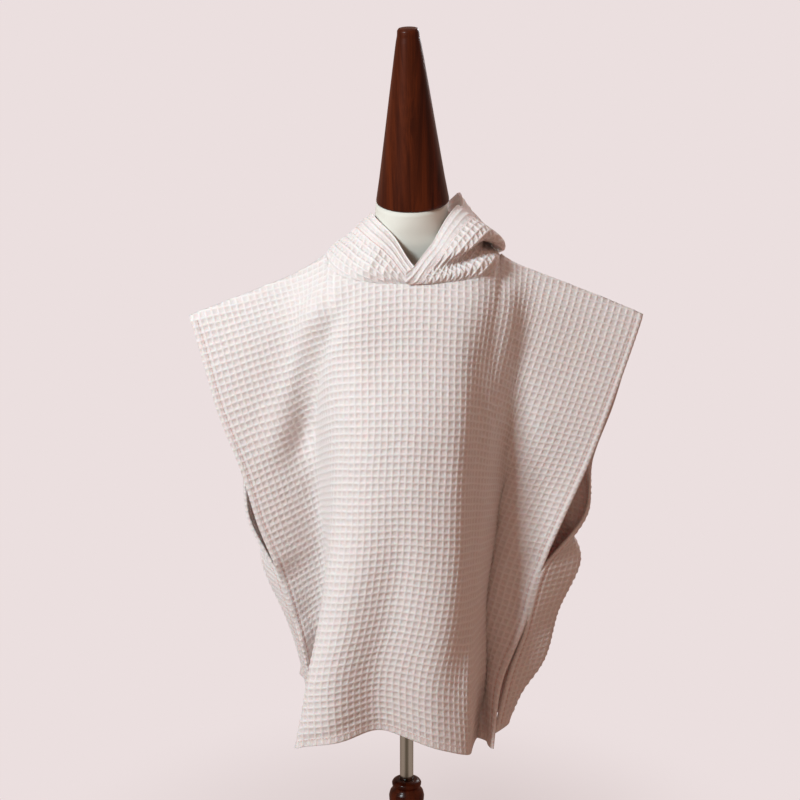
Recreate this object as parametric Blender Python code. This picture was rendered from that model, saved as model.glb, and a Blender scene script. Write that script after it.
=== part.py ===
"""Hooded bath poncho of waffle cotton, hanging on a child's limbless dress form.

A front and a back panel, each a flat rectangle 600 x 600 mm, are sewn along the
two shoulder slopes and for 45 mm at each side; a hood cut in two halves is sewn
into the neckline and lies down at the back of the neck.  The cloth rests on the
shoulders of a dress form with a tall turned neck cap, a chrome pole and a
turned wooden stand.

Lengths in the tables are millimetres; x runs to the wearer's left as seen from
the front, -y is the front, z is up and z = 0 is the underside of the stand.
"""
import math

import bpy
import numpy as np

for leftover in list(bpy.data.objects):
    bpy.data.objects.remove(leftover, do_unlink=True)

# ----------------------------------------------------------------- cut sizes
MM = 0.001
PANEL_HALF = 300.0        # half the width of a panel
PANEL_LENGTH = 600.0      # from the neck point to the hem
NECK_HALF = 110.0         # half the width of the neckline, in the flat cut
FRONT_DROP = 60.0         # depth of the front neckline in the flat cut
BACK_DROP = 18.0
SHOULDER_DROP = 35.0      # slope of the shoulder seam over its length
JOIN_TOP = 385.0          # the sides are sewn from here ...
JOIN_END = 430.0          # ... to here, below is the vent
CLOTH = 2.4               # thickness of the waffle cloth
SEAM = 0.3                # clear gap between two pieces that are sewn together
PANEL_BEND = 14.0         # softness of a fold in the panels
RIDGE_ARCH = 5.0          # each panel curves this far from the shoulder seam ...
RIDGE_RUN = 6.0           # ... within about this much cloth
HOOD_BEND = 5.0
NECK_X = 8.0              # axis the hood is set out from


def table(names, rows):
    """Rows of numbers under named columns."""
    data = np.array(rows, float)
    return {name: data[:, k] for k, name in enumerate(names.split())}


# The middle of each panel, one row for each 75 mm of cloth down from the neck point.
FRONT_MIDDLE = table("v x y z", [
    (0, 10, -38, 818), (75, 10, -70, 757), (150, 8, -84, 684),
    (225, 5, -102, 609), (300, 3, -107, 535), (375, 0, -108, 460),
    (450, -8, -107, 385), (525, -19, -103, 310), (600, -30, -98, 241)])
BACK_MIDDLE = table("v x y z", [
    (0, 8, 36, 822), (75, 8, 66, 755), (150, 8, 78, 681),
    (225, 8, 82, 606), (300, 7, 84, 531), (375, 6, 86, 456),
    (450, 5, 88, 381), (525, 4, 90, 306), (600, 4, 92, 231)])

# Each half row, from the middle out: turn (where the front of the bulge starts to
# fall back), limb (its side), the valley behind it, the run of the wing and the free
# side edge.  The distances x are measured away from the middle plane and drop is below
# the middle of the row.
HALF_NAMES = ("turn", "limb", "valley", "fold", "edge")
HALF_ROW = "v " + " ".join(name + "_x " + name + "_y " + name + "_drop" for name in HALF_NAMES)
FRONT_LEFT = table(HALF_ROW, [
    (0, 39.5, -34, 6.27,  80, -30, 16.5,  130, -5, 41,  200, -3, 55,  268, -2, 62),
    (75, 42.8, -70, 5.7,  86, -70, 15,  136, -14, 38,  195, -10, 58,  246, -6, 74),
    (150, 48, -82, 3,  87, -70, 8,  124, -7, 38,  178, -10, 56,  226, -12, 74),
    (225, 48, -97, 3,  85, -75, 8,  113, 8, 38,  156, -4, 56,  199, -14, 74),
    (300, 49, -102, 4,  86, -80, 9,  107, 25, 40,  144, 2, 56,  179, -12, 70),
    (375, 54, -105, 4,  93, -86, 10,  99, 35, 40,  124, 22, 52,  153, -6, 64),
    (450, 66, -108, 4,  106, -96, 12,  90, 35, 36,  113, 32, 46,  134, 0, 59),
    (525, 80, -115, 4,  123, -109, 14,  85, 27, 32,  106, 38, 42,  121, 8, 56),
    (600, 92, -122, 7,  138, -119, 16,  84, 13, 36,  104, 34, 44,  115, 10, 52)])
FRONT_RIGHT = table(HALF_ROW, [
    (0, 50.7, -34, 3.8,  84, -30, 10,  126, -5, 33,  210, -3, 50,  290, -2, 62),
    (75, 54, -70, 3.04,  90, -70, 8,  136, -14, 28,  205, -10, 52,  267, -6, 71),
    (150, 49, -82, 3,  87, -70, 8,  122, -1, 34,  186, -8, 54,  243, -12, 69),
    (225, 46, -98, 4,  81, -79, 9,  114, 14, 36,  166, -2, 50,  219, -14, 60),
    (300, 44, -103, 5,  78, -82, 10,  110, 33, 36,  148, 7, 46,  190, -12, 53),
    (375, 43, -104, 6,  76, -84, 12,  104, 50, 34,  126, 18, 42,  163, -4, 49),
    (450, 42, -104, 8,  75, -86, 16,  94, 52, 32,  112, 24, 40,  144, 2, 47),
    (525, 41, -103, 13,  75, -87, 26,  88, 49, 42,  104, 23, 44,  114, -6, 43),
    (600, 39, -100, 25,  75, -87, 41,  84, 36, 60,  99, -2, 54,  104, -46, 47)])
BACK_LEFT = table(HALF_ROW, [
    (0, 40.4, 33, 6.27,  80, 30, 16.5,  130, 5, 41,  200, 3, 55,  268, 2, 62),
    (75, 44.8, 71, 5.7,  88, 76, 15,  134, 20, 38,  195, 12, 58,  248, 8, 74),
    (150, 48.1, 88, 2.28,  94, 98, 6,  124, 22, 34,  180, 16, 54,  230, 14, 73),
    (225, 52.5, 97, 2.28,  102, 112, 6,  114, 26, 36,  163, 26, 54,  204, 18, 71),
    (300, 55.2, 101, 2.28,  106, 118, 6,  110, 38, 36,  196, 34, 56,  195, 14, 67),
    (375, 58.9, 104, 2.28,  112, 122, 6,  104, 46, 34,  190, 38, 46,  158, 2, 62),
    (450, 67.1, 108, 3.04,  126, 128, 8,  98, 50, 30,  159, 38, 46,  137, 4, 58),
    (525, 75.2, 111, 3.8,  140, 132, 10,  94, 54, 26,  138, 36, 42,  124, 14, 54),
    (600, 80.7, 112, 4.56,  150, 132, 12,  90, 56, 22,  128, 38, 38,  116, 22, 47)])
BACK_RIGHT = table(HALF_ROW, [
    (0, 49.8, 33, 3.8,  84, 30, 10,  126, 5, 33,  210, 3, 50,  290, 2, 62),
    (75, 53.1, 71, 2.28,  90, 76, 6,  136, 20, 28,  206, 12, 50,  269, 8, 71),
    (150, 56.4, 88, 2.28,  96, 98, 6,  128, 22, 34,  194, 18, 52,  251, 16, 70),
    (225, 60.8, 97, 2.28,  104, 112, 6,  116, 26, 36,  184, 30, 50,  229, 22, 65),
    (300, 61.4, 100, 2.28,  106, 116, 6,  110, 44, 36,  233, 32, 56,  220, 14, 60),
    (375, 58.8, 98, 2.28,  102, 110, 6,  110, 60, 34,  228, 40, 46,  168, 0, 51),
    (450, 63.8, 104, 3.04,  112, 120, 8,  102, 62, 30,  201, 40, 44,  149, 4, 50),
    (525, 66.7, 110, 3.8,  118, 130, 10,  94, 62, 26,  182, 40, 40,  128, 12, 44),
    (600, 71.1, 114, 4.56,  126, 136, 12,  86, 54, 22,  140, 36, 40,  112, 10, 46)])


# ------------------------------------------------------------ curves in cloth
def smooth_run(knots, values, at):
    """Cubic through the values at the knots, its slopes taken from the neighbours."""
    values = np.asarray(values, float)
    slope = np.gradient(values, knots, axis=0)
    k = np.clip(np.searchsorted(knots, at, side="right") - 1, 0, len(knots) - 2)
    width = (knots[k + 1] - knots[k])
    f = (at - knots[k]) / width
    shape = (-1,) + (1,) * (values.ndim - 1)
    f, width = f.reshape(shape), width.reshape(shape)
    return ((1 + 2 * f) * (1 - f) ** 2 * values[k] + f * (1 - f) ** 2 * width * slope[k]
            + f * f * (3 - 2 * f) * values[k + 1] + f * f * (f - 1) * width * slope[k + 1])


def lengths(points):
    """Running length along a line of points."""
    return np.r_[0, np.cumsum(np.linalg.norm(np.diff(points, axis=0), axis=1))]


def soften(corners, bend, count=401):
    """A line through the corners with every corner rounded by a bell curve of width bend."""
    corners = np.asarray(corners, float)
    along = lengths(corners)
    t = np.linspace(0, along[-1], count)
    line = np.stack([np.interp(t, along, corners[:, k]) for k in range(3)], 1)
    reach = int(math.ceil(3 * bend / (t[1] - t[0])))
    reach = min(reach, count - 2)
    bell = np.exp(-0.5 * (np.arange(-reach, reach + 1) * (t[1] - t[0]) / bend) ** 2)
    bell /= bell.sum()
    longer = np.vstack([2 * line[0] - line[1:reach + 1][::-1], line,
                        2 * line[-1] - line[-reach - 1:-1][::-1]])
    return np.stack([np.convolve(longer[:, k], bell, "valid") for k in range(3)], 1), t, along


def half_row(sheet, k, side, centre):
    """The corners of one half row from the middle out, side -1 or +1."""
    return [(side * sheet[name + "_x"][k], sheet[name + "_y"][k],
             centre[2] - sheet[name + "_drop"][k]) for name in HALF_NAMES]


def row_at(middle, left, right, k, u):
    """Points of row k at the cloth distances u from the middle of the panel."""
    centre = (middle["x"][k], middle["y"][k], middle["z"][k])
    corners = half_row(left, k, -1, centre)[::-1] + [centre] + half_row(right, k, 1, centre)
    line, t, along = soften(corners, PANEL_BEND)
    run = lengths(line)
    # the middle thread keeps to the middle at the neck and is left free lower down
    hold = max(0.0, 1 - max(0.0, middle["v"][k] - 75) / 225)
    mid = hold * np.interp(along[5], t, run) + (1 - hold) * run[-1] / 2
    target = np.where(u < 0, mid * (1 + u / PANEL_HALF), mid + u / PANEL_HALF * (run[-1] - mid))
    return np.stack([np.interp(target, run, line[:, j]) for j in range(3)], 1)


def top_line(u, drop):
    """Cloth distance from the neck point level to the cut top edge at u."""
    a = np.abs(u)
    neck = drop * np.sqrt(np.clip(1 - (a / NECK_HALF) ** 2, 0, 1))
    slope = SHOULDER_DROP * np.clip((a - NECK_HALF) / (PANEL_HALF - NECK_HALF), 0, 1)
    return np.where(a < NECK_HALF, neck, slope)


class Panel:
    """A panel as a smooth map from cloth distances (u across, v down) to space."""

    def __init__(self, middle, left, right, drop, facing):
        self.middle, self.drop, self.facing = middle, drop, facing
        self.fine_u = np.linspace(-PANEL_HALF, PANEL_HALF, 241)
        self.rows = np.stack([row_at(middle, left, right, k, self.fine_u)
                              for k in range(len(middle["v"]))])
        self.seam_shift = None
        self.side_shift = {}

    def raw(self, u, v):
        """u and v arrays of one shape."""
        shape = u.shape
        rows = smooth_run(self.middle["v"], self.rows, v.ravel())
        f = np.clip((u.ravel() + PANEL_HALF) / (2 * PANEL_HALF) * 240, 0, 239.999)
        k = f.astype(int)
        f = (f - k)[:, None]
        pick = np.arange(len(k))
        return (rows[pick, k] * (1 - f) + rows[pick, k + 1] * f).reshape(shape + (3,))

    def __call__(self, u, v):
        point = self.raw(u, v)
        below = np.maximum(v - top_line(u, self.drop), 0)
        wing = np.clip((np.abs(u) - 104) / 25, 0, 1)
        point[..., 1] += self.facing * RIDGE_ARCH * wing * (1 - np.exp(-below / RIDGE_RUN))
        if self.seam_shift is not None:
            top = top_line(u, self.drop)
            fade = np.exp(-(np.maximum(v - top, 0) / 45.0) ** 2)
            shift = np.stack([np.interp(u, self.fine_u, self.seam_shift[:, j]) for j in range(3)], -1)
            point = point + shift * fade[..., None]
        for side, (rows, moves) in self.side_shift.items():
            fade = np.exp(-((PANEL_HALF - side * u) / 40.0) ** 2)
            move = np.stack([np.interp(v, rows, moves[:, j]) for j in range(3)], -1)
            point = point + move * fade[..., None]
        return point


def match_shoulders(front, back):
    """Move the two top edges onto one ridge line over the shoulders, at y = 0."""
    u = front.fine_u
    ends = [panel.raw(u, top_line(u, panel.drop)) for panel in (front, back)]
    ridge = (ends[0] + ends[1]) / 2
    ridge[:, 1] = 0
    keep = np.clip((np.abs(u) - NECK_HALF + 12) / 12, 0, 1)[:, None]
    keep = keep * keep * (3 - 2 * keep)
    for panel, end in zip((front, back), ends):
        panel.seam_shift = (ridge - end) * keep


def join_weight(v):
    """1 along the short side seams, easing to 0 within 40 mm above and below."""
    f = np.clip(1 - np.maximum(JOIN_TOP - v, v - JOIN_END) / 40.0, 0, 1)
    return f * f * (3 - 2 * f)


def match_sides(front, back):
    """Bring the side edges of the panels together where they are sewn."""
    rows = np.linspace(0, PANEL_LENGTH, 121)
    for side in (-1, 1):
        u = np.full_like(rows, side * PANEL_HALF)
        ends = [panel(u, rows) for panel in (front, back)]
        for panel, end in zip((front, back), ends):
            panel.side_shift[side] = (rows, ((ends[0] + ends[1]) / 2 - end) * join_weight(rows)[:, None])


def make_panels():
    front = Panel(FRONT_MIDDLE, FRONT_LEFT, FRONT_RIGHT, FRONT_DROP, -1)
    back = Panel(BACK_MIDDLE, BACK_LEFT, BACK_RIGHT, BACK_DROP, 1)
    match_shoulders(front, back)
    match_sides(front, back)
    return front, back


# -------------------------------------------------------------------- hood
# Rows from the middle of the front (angle 0) round to the back seam (180): the
# cloth rises from the neck seam to a swell, turns over an inner and a tuck
# corner, hangs over to a hang and an outer corner and climbs to the rim.  r is
# measured from the upright axis at x = NECK_X.
HOOD_CORNERS = ("swell", "inner", "tuck", "hang", "outer", "rim")
HOOD_ROW = "angle " + " ".join(name + "_r " + name + "_z" for name in HOOD_CORNERS)
HOOD_LEFT = table(HOOD_ROW, [
    (-9,  67, 772,   67, 772.8, 67, 773.8, 67, 774.8, 67, 776,   66.6, 777),
    (0,   67, 774,   67, 776.5, 66.6, 779, 65.4, 782, 64, 784.5, 62, 787),
    (24,  74, 779,   71, 786,   66, 793,   61, 801,   55, 809,   49, 815),
    (50,  88, 786,   81, 796,   73, 805,   66, 815,   58, 825,   49.5, 834),
    (90,  103, 797.5,  95, 805,   85, 811,   75, 818,   63, 831,   50, 842),
    (110, 90, 808,   83, 814,   75, 819,   69, 825,   62, 831,   56, 836),
    (126, 68, 816,   60, 828,   66, 833,   80, 812,   92, 815,   76, 830),
    (140, 57, 823,   58, 834,   68, 837,  112, 748,  127, 750,   90, 829),
    (160, 50, 827,   53, 837,   67, 839,  112, 668,  136, 668,  108, 829),
    (180, 48, 826,   52, 837,   67, 838,  108, 648,  134, 646,  126, 828)])
HOOD_RIGHT = table(HOOD_ROW, [
    (-9,  68, 773,   68.8, 774.5, 69.2, 776, 69.2, 777.7, 68.9, 779.4, 68.3, 781),
    (0,   67, 774,   67, 776.5, 66.6, 779, 65.4, 782, 64, 784.5, 62, 787),
    (22,  76, 778,   69, 784,   68.5, 788, 71, 792,   62, 801,   52, 810),
    (45,  89, 786,   70, 789,   69, 797,   88, 803,   80, 815,   47, 833),
    (68,  101, 796,  76, 804,   75, 812,   98, 812,   91, 824,   48, 848),
    (82,  101, 797,  76, 803,   78, 815,  104, 802,  102, 812,   50, 851),
    (95,  100, 798,  77, 804,   82, 817,  107, 797,  108, 808,   55, 850),
    (112, 83, 811,   76, 818,   87, 827,  105, 789,  114, 796,   60, 857),
    (127, 62, 823,   62, 834,   74, 837,  103, 770,  119, 776,   67, 864),
    (142, 54, 828,   56, 839,   70, 842,  121, 715,  138, 720,   88, 856),
    (160, 50, 828,   53, 839,   68, 841,  113, 664,  137, 664,  108, 845),
    (180, 48, 826,   52, 837,   67, 838,  108, 648,  134, 646,  126, 828)])
HOOD_LAP = 3.1            # the right half lies over the left at the throat by this much


def unit(vectors):
    return vectors / np.maximum(np.linalg.norm(vectors, axis=-1, keepdims=True), 1e-9)


def panel_normal(panel, u, v, facing):
    """Outward unit normal of a panel (facing -1 for the front, +1 for the back)."""
    e = 1.5
    across = (panel(np.minimum(u + e, PANEL_HALF), v) - panel(np.maximum(u - e, -PANEL_HALF), v))
    down = panel(u, np.minimum(v + e, PANEL_LENGTH)) - panel(u, np.maximum(v - e, top_line(u, panel.drop)))
    return facing * unit(np.cross(across, down))


class HoodHalf:
    """Half of the hood as a map from (angle, station) to space: angle 0 is the middle
    of the front and 180 the back seam; station 0 is the neck seam and 1 to 6 are the
    corners of HOOD_CORNERS, the last being the rim."""

    def __init__(self, front, back, sheet, side, lap=0.0):
        self.sheet, self.side, self.lap = sheet, side, lap
        self.u_front = side * np.linspace(-14, NECK_HALF, 125)
        self.u_back = side * np.linspace(NECK_HALF, 0, 111)
        points, normals = [], []
        for panel, u, facing in ((front, self.u_front, -1), (back, self.u_back, 1)):
            top = top_line(u, panel.drop)
            points.append(panel(u, top))
            normals.append(panel_normal(panel, u, top, facing))
        self.points = np.vstack(points)
        turn = np.unwrap(np.arctan2(side * (self.points[:, 0] - NECK_X), -self.points[:, 1]))
        self.angles = np.degrees(turn - turn[14]) * math.pi / (turn[-1] - turn[14])
        # where the panels meet at the shoulder their normals turn through the mitre
        corner = unit(mitred(normals[0][-1:], np.array([0, 1.0, 0])))
        for rows in normals:
            u = self.u_front if rows is normals[0] else self.u_back
            keep = np.clip((np.abs(u) - NECK_HALF + 15) / 15, 0, 1)[:, None]
            rows[:] = unit(rows * (1 - keep) + corner * keep)
        self.normals = np.vstack(normals)

    def at(self, angle, rows):
        return np.stack([np.interp(angle, self.angles, rows[:, j]) for j in range(3)], -1)

    def corners(self, angle):
        row = {k: smooth_run(self.sheet["angle"], v, np.array([angle]))[0]
               for k, v in self.sheet.items()}
        a = math.radians(angle)
        out = [self.at(angle, self.points)]
        for name in HOOD_CORNERS:
            r = row[name + "_r"]
            out.append((NECK_X + self.side * r * math.sin(a), -r * math.cos(a), row[name + "_z"]))
        return np.array(out)

    def line(self, angle, stations):
        corners = self.corners(angle)
        bend = min(HOOD_BEND, 0.15 * lengths(corners)[-1])
        line, t, along = soften(corners, bend)
        place = np.interp(stations, np.arange(7), along)
        return np.stack([np.interp(place, t, line[:, j]) for j in range(3)], 1)

    def plain(self, angles, stations):
        return np.stack([self.line(a, stations) for a in angles])

    def normal(self, angles, stations):
        e = 0.5
        ahead = self.plain(np.minimum(angles + e, 180), stations)
        behind = self.plain(np.maximum(angles - e, -9), stations)
        up = (self.plain(angles, np.minimum(stations + 0.03, 6))
              - self.plain(angles, np.maximum(stations - 0.03, 0)))
        return self.side * unit(np.cross(ahead - behind, up))

    def seam_frame(self, angle):
        """Across the neck seam from panel to hood, and the shared offset direction."""
        along = unit(self.at(angle + 0.8, self.points) - self.at(angle - 0.8, self.points))
        normal = unit(self.at(angle, self.normals))
        panel_way = unit(self.side * np.cross(normal, along))
        hood_way = np.array([self.corners(x)[1] - self.corners(x)[0] for x in np.atleast_1d(angle)])
        hood_way = unit(hood_way - (hood_way * along).sum(-1, keepdims=True) * along)
        across = unit(panel_way + hood_way)
        return across, mitred(normal, across)

    def angle_at(self, u, facing):
        """Angle of the neck seam at the panels' cloth distance u."""
        if facing < 0:
            return np.interp(self.side * u, self.side * self.u_front, self.angles[:125])
        return np.interp(-self.side * u, -self.side * self.u_back, self.angles[125:])


# ------------------------------------------------------- solids from surfaces
def thick_sheet(middle, normal, thickness=CLOTH):
    """Vertices and faces of a closed sheet: the outer and inner faces lie half the
    thickness to each side of the middle grid and a strip closes all four edges.
    normal may be longer than one where two pieces meet at a mitre."""
    rows, cols = middle.shape[:2]
    outer = (middle + normal * thickness / 2).reshape(-1, 3)
    inner = (middle - normal * thickness / 2).reshape(-1, 3)
    count = rows * cols
    faces = []
    for i in range(rows - 1):
        for j in range(cols - 1):
            a, b, c, d = i * cols + j, i * cols + j + 1, (i + 1) * cols + j + 1, (i + 1) * cols + j
            # both faces are split along the same, shorter diagonal
            one = np.linalg.norm(middle[i, j] - middle[i + 1, j + 1])
            other = np.linalg.norm(middle[i, j + 1] - middle[i + 1, j])
            split = ((a, b, c), (a, c, d)) if one < other else ((a, b, d), (b, c, d))
            for p, q, r in split:
                faces.append((p, q, r))
                faces.append((count + r, count + q, count + p))
    rim = ([j for j in range(cols)] + [i * cols + cols - 1 for i in range(1, rows)]
           + [(rows - 1) * cols + j for j in range(cols - 2, -1, -1)]
           + [i * cols for i in range(rows - 2, 0, -1)])
    for a, b in zip(rim, rim[1:] + rim[:1]):
        if np.linalg.norm(outer[a] - inner[b]) < np.linalg.norm(outer[b] - inner[a]):
            faces += [(b, a, count + b), (a, count + a, count + b)]
        else:
            faces += [(b, a, count + a), (b, count + a, count + b)]
    return np.vstack([outer, inner]), faces


def mitred(normal, across):
    """Offset direction that lies in the seam plane and keeps the cloth's thickness."""
    across = unit(across)
    flat = normal - (normal * across).sum(-1, keepdims=True) * across
    size = np.maximum(np.linalg.norm(flat, axis=-1, keepdims=True), 0.6)
    return flat / size ** 2


def side_frame(front, back, side, v):
    """Across a side seam from the front panel to the back, and the shared offset direction."""
    u = np.full_like(v, side * PANEL_HALF)
    ways = [unit(panel(u, v) - panel(u - side * 4, v)) for panel in (front, back)]
    normals = [panel_normal(panel, u, v, facing) for panel, facing in ((front, -1), (back, 1))]
    across = unit(ways[0] - ways[1])
    return across, mitred(unit(normals[0] + normals[1]), across)


def panel_grid(front, back, facing, halves, us, ts):
    """Middle grid and offset directions of a panel, drawn back and mitred at its seams."""
    panel = front if facing < 0 else back
    u = np.broadcast_to(us, (len(ts), len(us))).copy()
    top = top_line(u, panel.drop)
    v = top + (PANEL_LENGTH - top) * ts[:, None]
    point = panel(u, v)
    normal = panel_normal(panel, u, v, facing)
    shoulder = np.abs(us) >= NECK_HALF
    point[0, shoulder, 1] += facing * SEAM / 2
    normal[0, shoulder] = mitred(normal[0, shoulder], np.array([0, 1.0, 0]))
    for half in halves:
        mine = (np.abs(us) <= NECK_HALF) & ((us * half.side > 0) | ((us == 0) & (half.side > 0)))
        across, offset = half.seam_frame(half.angle_at(us[mine], facing))
        point[0, mine] -= across * SEAM / 2
        normal[0, mine] = offset
    for j, side in ((0, -1), (-1, 1)):
        weight = join_weight(v[:, j])[:, None]
        across, offset = side_frame(front, back, side, v[:, j])
        point[:, j] += facing * across * (SEAM / 2) * weight
        normal[:, j] = normal[:, j] * (1 - weight) + offset * weight
    return point, normal


def hood_grid(half, angles, stations):
    """Middle grid and offset directions of a hood half."""
    point = half.plain(angles, stations)
    normal = half.normal(angles, stations)
    across, offset = half.seam_frame(angles)
    point[:, 0] += across * SEAM / 2
    normal[:, 0] = offset
    lap = half.lap * (1 - np.clip((angles - 11) / 14, 0, 1))
    point += unit(normal) * lap[:, None, None]
    point[-1, :, 0] = NECK_X + half.side * SEAM / 2
    normal[-1] = mitred(normal[-1], np.array([1.0, 0, 0]))
    return point, normal


# --------------------------------------------------- form, neck cap and stand
FORM_LEAN = 0.0075        # the form stands this much out of upright, to +x
FORM_ROW = "z half_width front back lean drop"
FORM = table(FORM_ROW, [          # rings from the bottom up; lean 1 lies in the plane of the neck cap's
    (432,  60, -44, 46, 0, 0), (434, 70, -53, 54, 0, 0),       # foot; drop lowers the ring's right end
    (440,  77, -60, 59, 0, 0), (452, 82, -65, 62, 0, 0), (480, 84, -69, 63, 0, 0),
    (520,  84, -71, 63, 0, 0), (565, 84, -72, 62, 0, 0), (620, 89, -75, 62, 0, 0),
    (675,  98, -76, 62, 0, 0.6), (716.5, 107, -70, 59, 0, 0.5), (748, 116, -57, 49, 0, -0.4),
    (769, 117, -42, 38, 0, -1.2), (779.5, 111, -34, 33, 0, -1.7), (787.5, 101, -32, 32.5, 0, -1.9),
    (795, 86, -33, 36, 0, -2.3), (802.5, 70, -36, 38, .1, -2.4), (812, 57, -39, 40, .2, -1.5),
    (824, 47, -41, 39, .4, 0.4), (838, 43, -44, 37, .7, 0), (857, 41.5, -46, 36, 1, 0)])
CAP = table("along radius", [
    (0.4, 38.6), (0.4, 41.2), (1.6, 42.3), (4, 42.4), (30, 37.9), (60, 33.3), (90, 28.7),
    (120, 24.2), (150, 19.6), (176, 15.6), (186, 14.0), (191, 12.9), (193, 12.6), (198, 12.3), (200, 10.8)])
CAP_FOOT = (6.4, -5.0, 857.0)
CAP_TIP = (0.5, -52.0, 1050.0)
POLE_RADIUS = 8.5
POLE = table("z radius", [(84.3, 7.7), (85.1, 8.5), (430.5, 8.5), (431.7, 7.6)])
KNOB = table("z radius", [
    (92, 8.8), (92, 14), (93.5, 17.5), (97, 20.5), (102, 22), (107.5, 22.3), (113, 21), (117, 18),
    (119.5, 16.5), (122, 18.3), (125, 18.6), (127.5, 17), (129, 13.5), (129, 8.8)])
STAND = table("z radius", [
    (0, 128), (0, 136), (2.5, 139.5), (7, 140), (13, 138.5), (17, 134), (20, 126), (21.5, 112),
    (24, 60), (26.5, 36), (31, 26), (38, 20), (48, 16.5), (58, 15.5), (66, 17), (72, 19.5),
    (77, 20.5), (81, 19.5), (83.5, 15.5), (84, 10)])


def rings_solid(rings):
    """Closed solid through rings of points, with a fan at each end."""
    count = rings.shape[1]
    rows = len(rings)
    points = np.vstack([rings.reshape(-1, 3), rings[0].mean(0), rings[-1].mean(0)])
    faces = []
    for i in range(rows - 1):
        for j in range(count):
            k = (j + 1) % count
            faces.append((i * count + j, i * count + k, (i + 1) * count + k, (i + 1) * count + j))
    for j in range(count):
        k = (j + 1) % count
        faces.append((rows * count, k, j))
        faces.append((rows * count + 1, (rows - 1) * count + j, (rows - 1) * count + k))
    return points, faces


def form_solid(count=40):
    """The torso and neck: rounded oblong rings, the shoulders drawn out to the sides."""
    angle = np.linspace(0, 2 * math.pi, count, endpoint=False)
    rings = []
    for k in range(len(FORM["z"])):
        z = FORM["z"][k]
        power = 2.0 + 0.35 * max(0.0, 1 - abs(z - 700) / 180)
        c, s = np.cos(angle), np.sin(angle)
        x = FORM["half_width"][k] * np.sign(c) * np.abs(c) ** (2 / power)
        depth = np.where(s > 0, FORM["back"][k], -FORM["front"][k])
        y = depth * np.sign(s) * np.abs(s) ** (2 / power)
        x = x + FORM_LEAN * (z - 175)
        way = np.subtract(CAP_TIP, CAP_FOOT)
        slope = ((x - CAP_FOOT[0]) * way[0] + (y - CAP_FOOT[1]) * way[1]) / way[2]
        drop = FORM["drop"][k] * (x - x.mean()) / FORM["half_width"][k]
        rings.append(np.stack([x, y, z - slope * FORM["lean"][k] - drop], 1))
    return rings_solid(np.array(rings))


def turned(profile, count, foot=(0, 0, 0), tip=(0, 0, 1)):
    """Solid of revolution: rows of (distance along the axis, radius) from foot towards tip."""
    foot, axis = np.array(foot, float), unit(np.array(tip, float) - np.array(foot, float))
    side = unit(np.cross(axis, np.array([0, 1.0, 0])))
    other = np.cross(axis, side)
    angle = np.linspace(0, 2 * math.pi, count, endpoint=False)
    ring = np.cos(angle)[:, None] * side + np.sin(angle)[:, None] * other
    along, radius = profile
    return np.array([foot + axis * a + ring * r for a, r in zip(along, radius)])


def bored(rings):
    """Closed solid of a turned ring: the last ring joins the first down the bore."""
    rows, count = rings.shape[:2]
    faces = []
    for i in range(rows):
        for j in range(count):
            k, n = (j + 1) % count, (i + 1) % rows
            faces.append((i * count + j, i * count + k, n * count + k, n * count + j))
    return rings.reshape(-1, 3), faces


# ==== build
def material(name, colour, roughness, metallic=0.0):
    made = bpy.data.materials.new(name)
    made.use_nodes = True
    shader = made.node_tree.nodes["Principled BSDF"]
    shader.inputs["Base Color"].default_value = (*colour, 1)
    shader.inputs["Roughness"].default_value = roughness
    shader.inputs["Metallic"].default_value = metallic
    made.diffuse_color = (*colour, 1)
    return made


def place(name, solid, surface):
    """Make the object from a closed solid in millimetres."""
    points, faces = solid
    mesh = bpy.data.meshes.new(name)
    mesh.from_pydata((np.asarray(points) * MM).tolist(), [], faces)
    mesh.validate()
    mesh.materials.append(surface)
    if signed_volume(points, faces) < 0:
        mesh.flip_normals()
    mesh.polygons.foreach_set("use_smooth", [True] * len(mesh.polygons))
    mesh.update()
    made = bpy.data.objects.new(name, mesh)
    bpy.context.scene.collection.objects.link(made)
    return made


def signed_volume(points, faces):
    points = np.asarray(points)
    total = 0.0
    for face in faces:
        for a, b in zip(face[1:], face[2:]):
            total += np.dot(points[face[0]], np.cross(points[a], points[b]))
    return total


waffle = material("waffle_cotton", (0.84, 0.72, 0.69), 0.9)
cover = material("form_cover", (0.62, 0.62, 0.56), 0.55)
wood = material("dark_wood", (0.09, 0.028, 0.014), 0.22)
chrome = material("chrome_pole", (0.72, 0.72, 0.70), 0.12, 1.0)

front, back = make_panels()
hood_left = HoodHalf(front, back, HOOD_LEFT, -1)
hood_right = HoodHalf(front, back, HOOD_RIGHT, 1, HOOD_LAP)
halves = (hood_left, hood_right)

NECK_STOPS = np.array([0, 15, 30, 45, 60, 75, 90, 102, 110.0])
WING_STOPS = np.array([125, 140, 155, 170, 185, 200, 215, 230, 244, 258, 272, 286, 300.0])
ACROSS = np.r_[-WING_STOPS[::-1], -NECK_STOPS[:0:-1], NECK_STOPS, WING_STOPS]
DOWN = np.r_[0, 0.008, 0.022, np.linspace(0.05, 1, 21)]
place("front_panel", thick_sheet(*panel_grid(front, back, -1, halves, ACROSS, DOWN)), waffle)
place("back_panel", thick_sheet(*panel_grid(front, back, 1, halves, ACROSS, DOWN)), waffle)

ease = np.array([0, 0.15, 0.5, 0.85])
CLIMB = np.r_[0, 0.3, 0.7, 1, (np.arange(1, 6)[:, None] + ease).ravel()[1:], 6]
for name, half in (("hood_left", hood_left), ("hood_right", hood_right)):
    stops = half.side * NECK_STOPS
    round_neck = np.r_[-9, -4, half.angle_at(stops, -1), half.angle_at(stops[-2::-1], 1)]
    place(name, thick_sheet(*hood_grid(half, round_neck, CLIMB)), waffle)

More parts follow.
